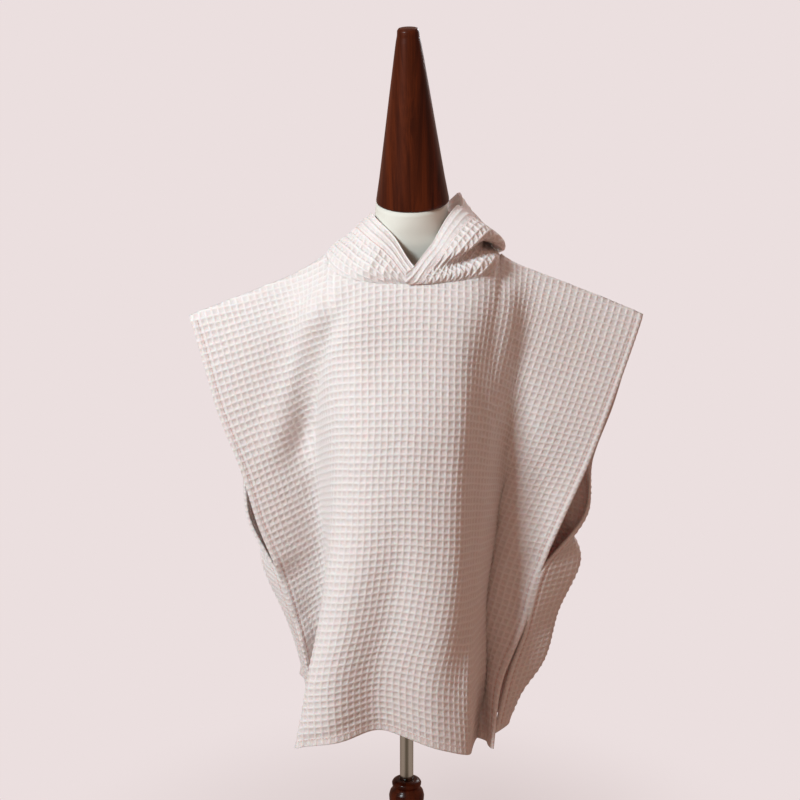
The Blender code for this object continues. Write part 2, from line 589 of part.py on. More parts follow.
place("dress_form", form_solid(), cover)
place("neck_cap", rings_solid(turned((CAP["along"], CAP["radius"]), 36, CAP_FOOT, CAP_TIP)), wood)
place("pole", rings_solid(turned((POLE["z"], POLE["radius"]), 28)), chrome)
place("pole_knob", bored(turned((KNOB["z"], KNOB["radius"]), 32)), wood)
place("stand", rings_solid(turned((STAND["z"], STAND["radius"]), 44)), wood)
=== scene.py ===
"""Child's hooded bath poncho of pale blush waffle cotton on a limbless dress form.

Two flat panels 600 mm square are sewn along the shoulders and for a few
centimetres at the sides; a hood in two halves is sewn into the neckline and
lies down behind the neck.  Lengths are millimetres until a mesh is made.
"""
import math

import bpy
import numpy as np
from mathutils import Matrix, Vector


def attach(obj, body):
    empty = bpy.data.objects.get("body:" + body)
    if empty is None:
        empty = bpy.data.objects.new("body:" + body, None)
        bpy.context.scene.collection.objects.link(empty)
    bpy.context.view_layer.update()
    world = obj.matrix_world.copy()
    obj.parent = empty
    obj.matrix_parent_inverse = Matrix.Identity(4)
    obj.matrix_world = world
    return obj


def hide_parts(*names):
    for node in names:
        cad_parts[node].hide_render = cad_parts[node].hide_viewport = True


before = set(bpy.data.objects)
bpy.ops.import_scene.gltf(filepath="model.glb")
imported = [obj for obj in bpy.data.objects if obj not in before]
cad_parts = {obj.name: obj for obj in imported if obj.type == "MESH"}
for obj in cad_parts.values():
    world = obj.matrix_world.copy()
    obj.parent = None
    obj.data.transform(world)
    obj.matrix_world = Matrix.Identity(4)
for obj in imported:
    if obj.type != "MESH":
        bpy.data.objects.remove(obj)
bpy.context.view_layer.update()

# ------------------------------- waffle cotton
# One cloth for the whole garment: a honeycomb weave whose long floats stand up as
# thin ridges round square pits of plain weave, in a soft two-ply cotton dyed blush.
PANEL = 600.0
CELLS = 73                      # cells of the weave across a panel, and down it
PITCH = PANEL / CELLS
RIDGE_TOP, RIDGE_FOOT = 0.06, 0.26      # half widths of a ridge, as shares of a cell
YARNS = 9                       # yarns to a cell, each way
RIDGE_COLOUR = (0.870, 0.810, 0.790, 1)
# the pit colour is the blush dye plus painted shade: darker and pinker than the ridge colour, for
# the shade and light bounced between fibres deep in each cell
PIT_DYE_AND_SHADE = (0.790, 0.710, 0.686, 1)


class Thread:
    """One output of a material's nodes.  The operators add Math nodes, and node() adds
    any other node from its type, its settings and the values or links of its sockets."""

    def __init__(self, tree, socket=None):
        self.tree, self.socket = tree, socket

    def node(self, kind, settings=(), sockets=(), out=0):
        made = self.tree.nodes.new("ShaderNode" + kind)
        for name, value in dict(settings).items():
            setattr(made, name, value)
        for name, value in dict(sockets).items():
            if isinstance(value, Thread):
                self.tree.links.new(value.socket, made.inputs[name])
            else:
                made.inputs[name].default_value = value
        return Thread(self.tree, made.outputs[out])

    def math(self, operation, *others):
        return self.node("Math", {"operation": operation},
                         dict(enumerate((self,) + others)))

    def __add__(self, other):
        return self.math("ADD", other)

    def __sub__(self, other):
        return self.math("SUBTRACT", other)

    def __rsub__(self, other):
        return (self * -1.0) + other

    def __mul__(self, other):
        return self.math("MULTIPLY", other)

    __radd__, __rmul__ = __add__, __mul__

    def ease(self, low, high):
        """0 below low and 1 above high, with a smooth step between."""
        return self.node("MapRange", {"interpolation_type": "SMOOTHSTEP"},
                         {"Value": self, "From Min": low, "From Max": high})

    def dye(self, first, second):
        """A colour from first, where this is 0, to second, where it is 1."""
        return self.node("Mix", {"data_type": "RGBA"}, {0: self, 6: first, 7: second}, out=2)

    def parts(self):
        """The three coordinates of this vector."""
        split = self.node("SeparateXYZ", (), {0: self})
        return [Thread(self.tree, split.socket.node.outputs[k]) for k in range(3)]

    def noise(self, scale, detail=2.0, **more):
        """Cloudy noise from 0 to 1, read at this place."""
        return self.node("TexNoise", (), {"Vector": self, "Scale": scale, "Detail": detail, **more})


def finish(name, **numbers):
    """A new material, the place on the piece as its first thread, and its shader node."""
    made = bpy.data.materials.new(name)
    made.use_nodes = True
    shader = made.node_tree.nodes["Principled BSDF"]
    for label, value in numbers.items():
        shader.inputs[label.replace("_", " ").title().replace("Ior", "IOR")].default_value = value
    return made, Thread(made.node_tree).node("TexCoord", out=3), shader


def feed(node, label, thread):
    thread.tree.links.new(thread.socket, node.inputs[label])


def emboss(shader, height, strength, distance):
    """Relief too fine for the mesh: a height of 1 stands distance metres out."""
    feed(shader, "Normal", height.node("Bump", (), {"Strength": strength, "Distance": distance,
                                                    "Height": height}))


waffle, place, shader = finish("waffle_cotton", roughness=0.93, sheen_weight=0.25,
                               sheen_roughness=0.5, specular_ior_level=0.25,
                               subsurface_weight=0.2, subsurface_scale=0.003)
shader.inputs["Subsurface Radius"].default_value = (1.0, 0.35, 0.25)
# the cloth's own attribute: cells across and down, and how far it is pressed flat
across, down, pressed = place.node("Attribute", {"attribute_name": "cloth"}, out=1).parts()
upright, lying = (1 - cells.math("PINGPONG", 0.5).ease(RIDGE_TOP, RIDGE_FOOT)
                  for cells in (across, down))
upright = upright * (1 - pressed * 0.75)
ridge = upright.math("MAXIMUM", lying)
# yarns: along the ridge that is higher there, and both ways in the pits
warp, weft = ((cells * (2 * math.pi * YARNS)).math("SINE") for cells in (across, down))
along = upright.math("GREATER_THAN", lying)
float_yarn = warp * along + weft * (1 - along)
yarn = float_yarn * ridge + (warp * weft) * (1 - ridge)
fuzz, blotch = place.noise(900.0, 3.0), place.noise(14.0, 4.0)
emboss(shader, ridge * (0.55 - pressed * 0.2) + yarn * 0.10 + fuzz * 0.25, 0.85, 0.0012)
# painted shade: the pits are coloured darker than the ridges; where the cloth is pressed flat, as
# on the hems and the hood (its left half more than its right), it takes more of the ridge colour
weave = (ridge * (1 - pressed * 0.5) + yarn * 0.10 + pressed * 0.45).dye(PIT_DYE_AND_SHADE, RIDGE_COLOUR)
feed(shader, "Base Color", place.node(
    "HueSaturation", (), {"Color": weave, "Saturation": 0.92 + blotch * 0.16,
                          "Value": 0.965 + blotch * 0.05 + fuzz * 0.02}))

# ------------------------ front and back panel
# Each panel is one flat piece of the waffle, 600 mm square, with a shallow neckline
# and shoulders cut on a slope.  It hangs from the ridge over the shoulders: a round
# bulge in the middle, a valley at each side and a wing that runs out to the free edge.
HALF = PANEL / 2
NECK_HALF, FRONT_DROP, BACK_DROP, SHOULDER_DROP = 110.0, 60.0, 18.0, 35.0
JOIN_TOP, JOIN_END = 385.0, 430.0      # the sides are sewn here only
JOIN_FADE, SHOULDER_FADE, SIDE_FADE = 40.0, 45.0, 40.0      # how soon a seam lets go
NECK_FADE, MITRE_FADE = 12, 15  # how far into the neckline its pull and its mitre reach
JOIN_HOLD, JOIN_DENT = 30.0, 3.0        # beside the sewn sides: no creases, and drawn thin
STRAIGHT = 25.0                 # threads wander less and less this near to an edge
SEAM, SEAM_TURN = 0.3, 3.5      # gap at a seam, and how soon the cloth turns into its plane
PANEL_BEND = 14.0               # how softly the corners of a row are rounded
RIDGE_ARCH, RIDGE_RUN = 5.0, 6.0        # the cloth arches out this far beside the ridge
ARCH_FROM, ARCH_OVER = 104.0, 25.0      # where along the shoulder the ridge starts to arch
HOLD_TO, HOLD_OVER = 75.0, 225.0        # down to where the middle thread is held, and then freed
THREADS = 600                   # steps across a stored row
HEM = 10.0                      # width of the turned-in hem along every free edge


def table(names, rows):
    """Rows of numbers under named columns."""
    data = np.array(rows, float)
    return {name: data[:, k] for k, name in enumerate(names.split())}


# The middle of each panel, one row for each 75 mm of cloth down from the neck point.
FRONT_MIDDLE = table("v x y z", [
    (0, 10, -38, 818), (75, 10, -70, 757), (150, 8, -84, 684),
    (225, 5, -102, 609), (300, 3, -107, 535), (375, 0, -108, 460),
    (450, -8, -107, 385), (525, -19, -103, 310), (600, -30, -98, 241)])
BACK_MIDDLE = table("v x y z", [
    (0, 8, 36, 822), (75, 8, 66, 755), (150, 8, 78, 681),
    (225, 8, 82, 606), (300, 7, 84, 531), (375, 6, 86, 456),
    (450, 5, 88, 381), (525, 4, 90, 306), (600, 4, 92, 231)])

# Each half row, from the middle out: turn (where the front of the bulge starts to
# fall back), limb (its side), the valley behind it, the run of the wing and the free
# side edge.  The distances x are measured away from the middle plane and drop is below
# the middle of the row.
HALF_NAMES = ("turn", "limb", "valley", "fold", "edge")
HALF_ROW = "v " + " ".join(name + "_x " + name + "_y " + name + "_drop" for name in HALF_NAMES)
FRONT_LEFT = table(HALF_ROW, [
    (0, 39.5, -34, 6.27,  80, -30, 16.5,  130, -5, 41,  200, -3, 55,  268, -2, 62),
    (75, 42.8, -70, 5.7,  86, -70, 15,  136, -14, 38,  195, -10, 58,  246, -6, 74),
    (150, 48, -82, 3,  87, -70, 8,  124, -7, 38,  178, -10, 56,  226, -12, 74),
    (225, 48, -97, 3,  85, -75, 8,  113, 8, 38,  156, -4, 56,  199, -14, 74),
    (300, 49, -102, 4,  86, -80, 9,  107, 25, 40,  144, 2, 56,  179, -12, 70),
    (375, 54, -105, 4,  93, -86, 10,  99, 35, 40,  124, 22, 52,  153, -6, 64),
    (450, 66, -108, 4,  106, -96, 12,  90, 35, 36,  113, 32, 46,  134, 0, 59),
    (525, 80, -115, 4,  123, -109, 14,  85, 27, 32,  106, 38, 42,  121, 8, 56),
    (600, 92, -122, 7,  138, -119, 16,  84, 13, 36,  104, 34, 44,  115, 10, 52)])
FRONT_RIGHT = table(HALF_ROW, [
    (0, 50.7, -34, 3.8,  84, -30, 10,  126, -5, 33,  210, -3, 50,  290, -2, 62),
    (75, 54, -70, 3.04,  90, -70, 8,  136, -14, 28,  205, -10, 52,  267, -6, 71),
    (150, 49, -82, 3,  87, -70, 8,  122, -1, 34,  186, -8, 54,  243, -12, 69),
    (225, 46, -98, 4,  81, -79, 9,  114, 14, 36,  166, -2, 50,  219, -14, 60),
    (300, 44, -103, 5,  78, -82, 10,  110, 33, 36,  148, 7, 46,  190, -12, 53),
    (375, 43, -104, 6,  76, -84, 12,  104, 50, 34,  126, 18, 42,  163, -4, 49),
    (450, 42, -104, 8,  75, -86, 16,  94, 52, 32,  112, 24, 40,  144, 2, 47),
    (525, 41, -103, 13,  75, -87, 26,  88, 49, 42,  104, 23, 44,  114, -6, 43),
    (600, 39, -100, 25,  75, -87, 41,  84, 36, 60,  99, -2, 54,  104, -46, 47)])
BACK_LEFT = table(HALF_ROW, [
    (0, 40.4, 33, 6.27,  80, 30, 16.5,  130, 5, 41,  200, 3, 55,  268, 2, 62),
    (75, 44.8, 71, 5.7,  88, 76, 15,  134, 20, 38,  195, 12, 58,  248, 8, 74),
    (150, 48.1, 88, 2.28,  94, 98, 6,  124, 22, 34,  180, 16, 54,  230, 14, 73),
    (225, 52.5, 97, 2.28,  102, 112, 6,  114, 26, 36,  163, 26, 54,  204, 18, 71),
    (300, 55.2, 101, 2.28,  106, 118, 6,  110, 38, 36,  196, 34, 56,  195, 14, 67),
    (375, 58.9, 104, 2.28,  112, 122, 6,  104, 46, 34,  190, 38, 46,  158, 2, 62),
    (450, 67.1, 108, 3.04,  126, 128, 8,  98, 50, 30,  159, 38, 46,  137, 4, 58),
    (525, 75.2, 111, 3.8,  140, 132, 10,  94, 54, 26,  138, 36, 42,  124, 14, 54),
    (600, 80.7, 112, 4.56,  150, 132, 12,  90, 56, 22,  128, 38, 38,  116, 22, 47)])
BACK_RIGHT = table(HALF_ROW, [
    (0, 49.8, 33, 3.8,  84, 30, 10,  126, 5, 33,  210, 3, 50,  290, 2, 62),
    (75, 53.1, 71, 2.28,  90, 76, 6,  136, 20, 28,  206, 12, 50,  269, 8, 71),
    (150, 56.4, 88, 2.28,  96, 98, 6,  128, 22, 34,  194, 18, 52,  251, 16, 70),
    (225, 60.8, 97, 2.28,  104, 112, 6,  116, 26, 36,  184, 30, 50,  229, 22, 65),
    (300, 61.4, 100, 2.28,  106, 116, 6,  110, 44, 36,  233, 32, 56,  220, 14, 60),
    (375, 58.8, 98, 2.28,  102, 110, 6,  110, 60, 34,  228, 40, 46,  168, 0, 51),
    (450, 63.8, 104, 3.04,  112, 120, 8,  102, 62, 30,  201, 40, 44,  149, 4, 50),
    (525, 66.7, 110, 3.8,  118, 130, 10,  94, 62, 26,  182, 40, 40,  128, 12, 44),
    (600, 71.1, 114, 4.56,  126, 136, 12,  86, 54, 22,  140, 36, 40,  112, 10, 46)])


def cubic(f, width, start, start_slope, end, end_slope):
    """The cubic with these values and slopes at both ends of a step, at the share f of it."""
    return ((1 + 2 * f) * (1 - f) ** 2 * start + f * (1 - f) ** 2 * width * start_slope
            + f * f * (3 - 2 * f) * end + f * f * (f - 1) * width * end_slope)


def smooth_run(knots, values, at):
    """Cubic through the values at the knots, its slopes taken from the neighbours."""
    values = np.asarray(values, float)
    slope = np.gradient(values, knots, axis=0)
    k = np.clip(np.searchsorted(knots, at, side="right") - 1, 0, len(knots) - 2)
    width = knots[k + 1] - knots[k]
    return cubic((at - knots[k]) / width, width, values[k], slope[k], values[k + 1], slope[k + 1])


def lengths(points, axis=0):
    """Running length along a line of points, or along every line of a grid of them."""
    step = np.linalg.norm(np.diff(points, axis=axis), axis=-1)
    return np.concatenate([0 * step.take([0], axis), np.cumsum(step, axis)], axis)


def columns(at, knots, points):
    """Points read off a line of points at the places at, one coordinate at a time."""
    return np.stack([np.interp(at, knots, points[:, k]) for k in range(3)], -1)


def unit(vectors):
    return vectors / np.maximum(np.linalg.norm(vectors, axis=-1, keepdims=True), 1e-9)


def bell(x):
    """1 at 0, falling away to both sides to 0.37 at 1 and to nearly nothing at 2."""
    return np.exp(-x ** 2)


def soften(corners, bend, count=1201):
    """A line through the corners with every corner rounded by a bell curve of width bend."""
    corners = np.asarray(corners, float)
    along = lengths(corners)
    t = np.linspace(0, along[-1], count)
    line = columns(t, along, corners)
    reach = min(int(math.ceil(3 * bend / (t[1] - t[0]))), count - 2)
    shares = np.exp(-0.5 * (np.arange(-reach, reach + 1) * (t[1] - t[0]) / bend) ** 2)
    shares /= shares.sum()
    longer = np.vstack([2 * line[0] - line[1:reach + 1][::-1], line,
                        2 * line[-1] - line[-reach - 1:-1][::-1]])
    return np.stack([np.convolve(longer[:, k], shares, "valid") for k in range(3)], 1), t, along


def half_row(sheet, k, side, centre):
    """The corners of one half row from the middle out, side -1 or +1."""
    return [(side * sheet[name + "_x"][k], sheet[name + "_y"][k],
             centre[2] - sheet[name + "_drop"][k]) for name in HALF_NAMES]


def row_at(middle, left, right, k, u):
    """Points of row k at the cloth distances u from the middle of the panel."""
    centre = (middle["x"][k], middle["y"][k], middle["z"][k])
    corners = half_row(left, k, -1, centre)[::-1] + [centre] + half_row(right, k, 1, centre)
    line, t, along = soften(corners, PANEL_BEND)
    run = lengths(line)
    # the middle thread keeps to the middle at the neck and is left free lower down
    hold = max(0.0, 1 - max(0.0, middle["v"][k] - HOLD_TO) / HOLD_OVER)
    mid = hold * np.interp(along[len(HALF_NAMES)], t, run) + (1 - hold) * run[-1] / 2
    at = np.where(u < 0, mid * (1 + u / HALF), mid + u / HALF * (run[-1] - mid))
    return columns(at, run, line)


def ease(x, low, high):
    """0 below low and 1 above high, with a smooth step between."""
    f = np.clip((x - low) / (high - low), 0, 1)
    return f * f * (3 - 2 * f)


def fallen(u):
    """How far the shoulder has fallen at u: a straight line, level across the neck."""
    return SHOULDER_DROP * np.clip((np.abs(u) - NECK_HALF) / (HALF - NECK_HALF), 0, 1)


def top_line(u, drop):
    """Cloth distance from the neck point level to the cut top edge at u: half an ellipse
    for the neckline and the slope of each shoulder."""
    a = np.abs(u)
    neck = drop * np.sqrt(np.clip(1 - (a / NECK_HALF) ** 2, 0, 1))
    return np.where(a < NECK_HALF, neck, fallen(u))


def shoulder_run(u, v):
    """Cloth distance down from the slope of the shoulder, carried level across the neck."""
    return np.maximum(v - fallen(u), 0)


def from_cut(u, v, drop):
    """True distance from the cut top edge.  Inside the neck it is the altitude of the
    right triangle on the level and the upright distance to the curve; outside it is the
    smaller of the two."""
    a = np.abs(u)
    upright = np.maximum(v - top_line(u, drop), 0)
    level = np.maximum(a - NECK_HALF * np.sqrt(np.clip(1 - (v / drop) ** 2, 0, 1)), 0)
    altitude = upright * level / np.maximum(np.hypot(upright, level), 1e-6)
    beside = np.where(a < NECK_HALF, altitude, np.minimum(upright, level))
    return np.where(v < drop, beside, upright)


# Soft folds: u and v where each starts and ends, its width, its height and its bow.
FRONT_CREASES = [
    # the left lobe of the bulge and the hollow beside it, down to the hem
    (-76, 310, -66, 760, 26, 6.5, 0), (-14, 290, -2, 760, 24, -6, -6),
    (-30, 575, -120, 604, 12, -2.2, 0),
    # the wing turns under towards the bulge on the left ...
    (-90, 17, -276, 247, 20, 7, 0), (-62, 39, -248, 269, 20, -9, 0),
    # ... and leans back on the right, where the bulge rounds off early
    (150, -60, 244, 760, 52, 7, 0), (84, -40, 99, 640, 26, -6.5, 0),
    (222, 430, 238, 780, 20, 7, 0), (262, 430, 268, 780, 14, -4, 0),
    (206, 130, 292, 620, 26, 6.5, 0), (308, 60, 312, 640, 46, -8, 0),
    # drag lines from the neck seam
    (-60, 80, -90, 240, 16, 1.2, 4), (52, 90, 70, 260, 16, 0.9, 0),
    (98, 60, 176, 300, 12, -1.5, -8), (116, 40, 214, 260, 12, 1.3, -8),
    # shallow waves across the bulge and along the hem
    (40, 380, 62, 760, 22, 2.4, 5), (24, 200, 34, 420, 20, -1.2, 4),
    (-210, 380, -280, 500, 14, 1.8, 6)]
BACK_CREASES = [
    (-60, 130, -76, 640, 26, 3.2, 8), (-14, 160, -22, 640, 24, -3.4, -6),
    (34, 120, 44, 640, 25, 3, 7), (86, 210, 96, 640, 20, -2.4, -5),
    (-104, 50, -200, 320, 13, -1.5, 9), (108, 50, 196, 300, 13, -1.5, -9),
    (-128, 40, -236, 280, 13, 1.3, 8), (130, 40, 226, 270, 13, 1.3, -8),
    (-150, 330, -170, 560, 16, 1.6, 5), (150, 320, 172, 540, 16, 1.6, -5)]


def crease_height(creases, u, v):
    """Sum of soft folds: each is a bell across a bowed line and swells in and out along
    it, so that it fades into the cloth at both ends."""
    total = np.zeros_like(u)
    for u_from, v_from, u_to, v_to, width, height, bow in creases:
        du, dv = u_to - u_from, v_to - v_from
        long = math.hypot(du, dv)
        t = ((u - u_from) * du + (v - v_from) * dv) / long ** 2
        off = ((u - u_from) * dv - (v - v_from) * du) / long
        off = off - bow * np.sin(math.pi * np.clip(t, 0, 1))
        swell = ease(t, 0, 0.3) * (1 - ease(t, 0.75, 1.0))
        total = total + height * swell * bell(off / width)
    return total


class Panel:
    """A panel as a smooth map from cloth distances (u across, v down) to space: rows of
    cloth of the right length, and between them a cubic down each thread."""

    def __init__(self, middle, left, right, drop, facing):
        self.drop, self.facing, self.v = drop, facing, middle["v"]
        self.u = np.linspace(-HALF, HALF, THREADS + 1)
        self.rows = np.stack([row_at(middle, left, right, k, self.u) for k in range(len(self.v))])
        self.slope = np.gradient(self.rows, self.v, axis=0)
        self.seam_shift, self.side_shift = None, {}

    def raw(self, u, v):
        """The rows alone, before they are drawn to the seams."""
        f = np.clip((u + HALF) / (2 * HALF) * THREADS, 0, THREADS - 0.001)
        j = f.astype(int)
        f = (f - j)[..., None]
        k = np.clip(np.searchsorted(self.v, v, side="right") - 1, 0, len(self.v) - 2)
        width = (self.v[k + 1] - self.v[k])[..., None]
        g = (v - self.v[k])[..., None] / width
        ends = [data[row, j] * (1 - f) + data[row, j + 1] * f
                for row in (k, k + 1) for data in (self.rows, self.slope)]
        return cubic(g, width, *ends)

    def __call__(self, u, v):
        point = self.raw(u, v)
        below = shoulder_run(u, v)
        wing = np.clip((np.abs(u) - ARCH_FROM) / ARCH_OVER, 0, 1)
        point[..., 1] += self.facing * RIDGE_ARCH * wing * (1 - np.exp(-below / RIDGE_RUN))
        if self.seam_shift is not None:
            fade = bell(below / SHOULDER_FADE)
            point = point + columns(u, self.u, self.seam_shift) * fade[..., None]
        for side, (rows, moves) in self.side_shift.items():
            fade = bell((HALF - side * u) / SIDE_FADE)
            point = point + columns(v, rows, moves) * fade[..., None]
        return point

    def normal(self, u, v, e=1.5):
        """Outward unit normal, from the cross product of two short steps on the cloth."""
        across = self(np.minimum(u + e, HALF), v) - self(np.maximum(u - e, -HALF), v)
        down = (self(u, np.minimum(v + e, PANEL))
                - self(u, np.maximum(v - e, top_line(u, self.drop))))
        return self.facing * unit(np.cross(across, down))


def join_weight(v):
    """1 along the short side seams, easing to 0 above and below them."""
    return ease(1 - np.maximum(JOIN_TOP - v, v - JOIN_END) / JOIN_FADE, 0, 1)


def mitred(normal, across):
    """Offset direction that lies in the seam plane and keeps the cloth's thickness."""
    across = unit(across)
    flat = normal - (normal * across).sum(-1, keepdims=True) * across
    return flat / np.maximum(np.linalg.norm(flat, axis=-1, keepdims=True), 0.6) ** 2


def by_shoulder(u, reach):
    """1 along the shoulders, falling to 0 within reach of them along the neckline."""
    return np.clip((np.abs(u) - NECK_HALF + reach) / reach, 0, 1)[:, None]


front = Panel(FRONT_MIDDLE, FRONT_LEFT, FRONT_RIGHT, FRONT_DROP, -1)
back = Panel(BACK_MIDDLE, BACK_LEFT, BACK_RIGHT, BACK_DROP, 1)

# the two top edges meet on one ridge line over the shoulders, at y = 0 ...
ends = [panel.raw(front.u, top_line(front.u, panel.drop)) for panel in (front, back)]
ridge_line = (ends[0] + ends[1]) / 2
ridge_line[:, 1] = 0
keep = by_shoulder(front.u, NECK_FADE)
for panel, end in zip((front, back), ends):
    panel.seam_shift = (ridge_line - end) * keep * keep * (3 - 2 * keep)
# ... and the side edges come together where they are sewn
side_rows = np.linspace(0, PANEL, 241)
for side in (-1, 1):
    ends = [panel(np.full_like(side_rows, side * HALF), side_rows) for panel in (front, back)]
    for panel, end in zip((front, back), ends):
        panel.side_shift[side] = (side_rows, ((ends[0] + ends[1]) / 2 - end)
                                  * join_weight(side_rows)[:, None])


def placed(name, data):
    """A new object in the scene."""
    made = bpy.data.objects.new(name, data)
    bpy.context.scene.collection.objects.link(made)
    return made


def solid(name, points, quads, triangles, surface):
    """An object from points in metres and arrays of four-sided and three-sided faces."""
    loops = np.r_[quads.ravel(), triangles.ravel()].astype(np.int32)
    sizes = np.r_[np.full(len(quads), 4), np.full(len(triangles), 3)]
    mesh = bpy.data.meshes.new(name)
    mesh.vertices.add(len(points))
    mesh.vertices.foreach_set("co", points.ravel())
    mesh.loops.add(len(loops))
    mesh.loops.foreach_set("vertex_index", loops)
    mesh.polygons.add(len(sizes))
    mesh.polygons.foreach_set("loop_start", np.r_[0, np.cumsum(sizes)[:-1]].astype(np.int32))
    mesh.polygons.foreach_set("use_smooth", np.ones(len(sizes), bool))
    mesh.update(calc_edges=True)
    mesh.validate()
    mesh.materials.append(surface)
    return placed(name, mesh)


def fit(piece, node):
    """The finished piece rides with the body and takes the place of its plain solid."""
    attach(piece, "root")
    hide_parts(node)


def outward(points, quads, triangles):
    """The faces, turned about where the volume they enclose would be negative."""
    corner = points[quads]
    volume = sum((corner[:, 0] * np.cross(corner[:, k], corner[:, k + 1])).sum() for k in (1, 2))
    return (quads[:, ::-1], triangles[:, ::-1]) if volume < 0 else (quads, triangles)


def shell(name, outer, inner, quads, weave):
    """A closed sheet of the cloth, in the place of its plain solid.  Its two faces carry
    the same quads, and each edge that only one quad has is joined across to the other."""
    used = np.unique(quads)
    count = len(used)
    slot = np.full(used[-1] + 1, -1)
    slot[used] = np.arange(count)
    quads = slot[quads]
    outer, inner, weave = (grid.reshape(-1, 3)[used] for grid in (outer, inner, weave))
    flat = quads[:, 0] == quads[:, 3], quads[:, 1] == quads[:, 2]
    triangles = np.vstack([quads[flat[0]][:, :3], quads[flat[1]][:, [0, 1, 3]]])
    quads = quads[~flat[0] & ~flat[1]]
    edges = np.vstack([np.stack([face[:, k], face[:, (k + 1) % face.shape[1]]], 1)
                       for face in (quads, triangles) for k in range(face.shape[1])])
    key = np.sort(edges, axis=1)
    key = key[:, 0].astype(np.int64) * count + key[:, 1]
    _, first, uses = np.unique(key, return_index=True, return_counts=True)
    a, b = edges[first[uses == 1]].T
    rim = np.stack([b, a, a + count, b + count], 1)
    quads = np.vstack([quads, quads[:, ::-1] + count, rim])
    triangles = np.vstack([triangles, triangles[:, ::-1] + count])
    points = np.vstack([outer, inner]) * 0.001
    made = solid(name + "_cloth", points, *outward(points, quads, triangles), waffle)
    tag = made.data.attributes.new("cloth", "FLOAT_VECTOR", "POINT")
    tag.data.foreach_set("vector", np.vstack([weave, weave]).ravel())
    fit(made, name)
    return made


def waffle_relief(across, down, pressed=0.0):
    """Height of the weave from 0 in a pit to 1 on a ridge: the larger of two rounded
    ridges, one on each whole number of cells, the first one flatter where it is pressed."""
    level = lambda x: 1 - ease(np.abs(x - np.round(x)), 0.0, 0.36)
    return np.maximum(level(across) * (1 - pressed), level(down))


OUTER, OUTER_RELIEF = 0.1, 1.75     # from the middle of the cloth to a pit, and pit to ridge
INNER, INNER_RELIEF = 0.85, 0.5
HEM_RISE, HEM_FOLD, STITCH_DENT = 0.5, 1.4, 0.9


def faces_of(middle, normal, relief, hem, stitch, seam):
    """Outer and inner faces.  The hem is turned inwards, so it thickens the inner face;
    the stitch line draws the outer face in, and so does a seam."""
    out = OUTER + OUTER_RELIEF * relief * (1 - 0.35 * hem) + HEM_RISE * hem - STITCH_DENT * stitch
    back = INNER + INNER_RELIEF * relief * (1 - hem) + HEM_FOLD * hem
    return (middle + normal * (out * (1 - 0.75 * seam))[..., None],
            middle - normal * (back * (1 - 0.2 * seam))[..., None])


def sewn(offset):
    """The dent of a line of stitches at a distance from it, 1.4 mm wide."""
    return bell(offset / 1.4)


def cells_of(index):
    """The quads between the neighbours on a grid of point numbers."""
    return np.stack([index[:-1, :-1], index[:-1, 1:], index[1:, 1:], index[1:, :-1]],
                    -1).reshape(-1, 4)


def wander(p, q, turn):
    """How far washing has drawn a thread aside, in mm: two slow sines multiplied, the
    first bent by a third."""
    return 0.4 * np.sin(p / 8.3 + 1.6 * np.sin(q / 13.1 + turn)) * np.sin(q / 9.7 + 2 * turn)


def panel_cloth(panel, creases):
    """Middle, offset direction and weave of a panel on the weave's own grid, three points
    to a cell; the rows above the cut top edge fold onto it."""
    line = np.linspace(-HALF, HALF, 3 * CELLS + 1), np.linspace(0, PANEL, 3 * CELLS + 1)
    u, v = np.meshgrid(*line)
    top = top_line(u, panel.drop)
    v = np.maximum(v, top)
    edge = HALF - np.abs(u)
    near = bell(from_cut(u, v, panel.drop) / SEAM_TURN)
    free = (1 - near) * (1 - join_weight(v) * bell(edge / JOIN_HOLD))
    inside = free * ease(edge, 0, STRAIGHT) * ease(PANEL - v, 0, STRAIGHT)
    shrunk = u + inside * wander(u, v, 0.4), v + inside * wander(v, u, 1.9)
    middle, normal = panel(*shrunk), panel.normal(*shrunk)
    middle += normal * (crease_height(creases, u, v) * free)[..., None]
    # along a sewn edge the cloth is offset in the seam's own plane
    beyond = np.maximum(NECK_HALF - np.abs(u), 0)
    shoulder = np.exp(-(shoulder_run(u, v) ** 2 + beyond ** 2) / SEAM_TURN ** 2)[..., None]
    middle[..., 1:2] += panel.facing * SEAM / 2 * (shoulder > 0.99)
    normal = (1 - shoulder) * normal + shoulder * mitred(normal, np.array([0, 1.0, 0]))
    hem = np.maximum(1 - ease(edge, HEM - 0.5, HEM + 2), 1 - ease(PANEL - v, HEM - 0.5, HEM + 2))
    stitch = np.maximum(sewn(edge - HEM + 1.5) * (v < PANEL - HEM + 2),
                        sewn(PANEL - v - HEM + 1.5) * (edge > HEM - 2))
    joined = join_weight(v) * bell(edge / JOIN_DENT)
    outer, inner = faces_of(middle, normal, waffle_relief(u / PITCH, v / PITCH), hem, stitch,
                            np.maximum(near, joined))
    rows, cols = u.shape
    first = np.argmax(line[1][:, None] > top, axis=0) - 1
    index = np.maximum(np.arange(rows)[:, None], first) * cols + np.arange(cols)
    quads = cells_of(index)
    quads = quads[(quads[:, 0] != quads[:, 3]) | (quads[:, 1] != quads[:, 2])]
    weave = np.stack([u / PITCH, v / PITCH, 0.2 * hem], -1)
    # the hem is stitched one cell in from the edge, on the fourth line of the grid
    upper = first[3] + 3
    lines = [(middle[cut], normal[cut]) for cut in (np.s_[-4, 3:-3], np.s_[upper:-3, 3],
                                                    np.s_[upper:-3, -4])]
    return outer, inner, quads, weave, lines


STITCH, THREAD = 3.4, 0.45      # length of a stitch and half the thickness of its thread
FACES = (0.75, -2.45)           # height of the stitches on the outer and on the inner face
RING_AT, TIP_AT, DIP = 0.62, 0.46, 0.35     # outer rings and tips of a bar, and its dip
thread, place, shader = finish("sewing_thread", base_color=(0.76, 0.50, 0.455, 1), roughness=0.75,
                               sheen_weight=0.2)
emboss(shader, place.noise(2500.0), 0.3, 0.0002)


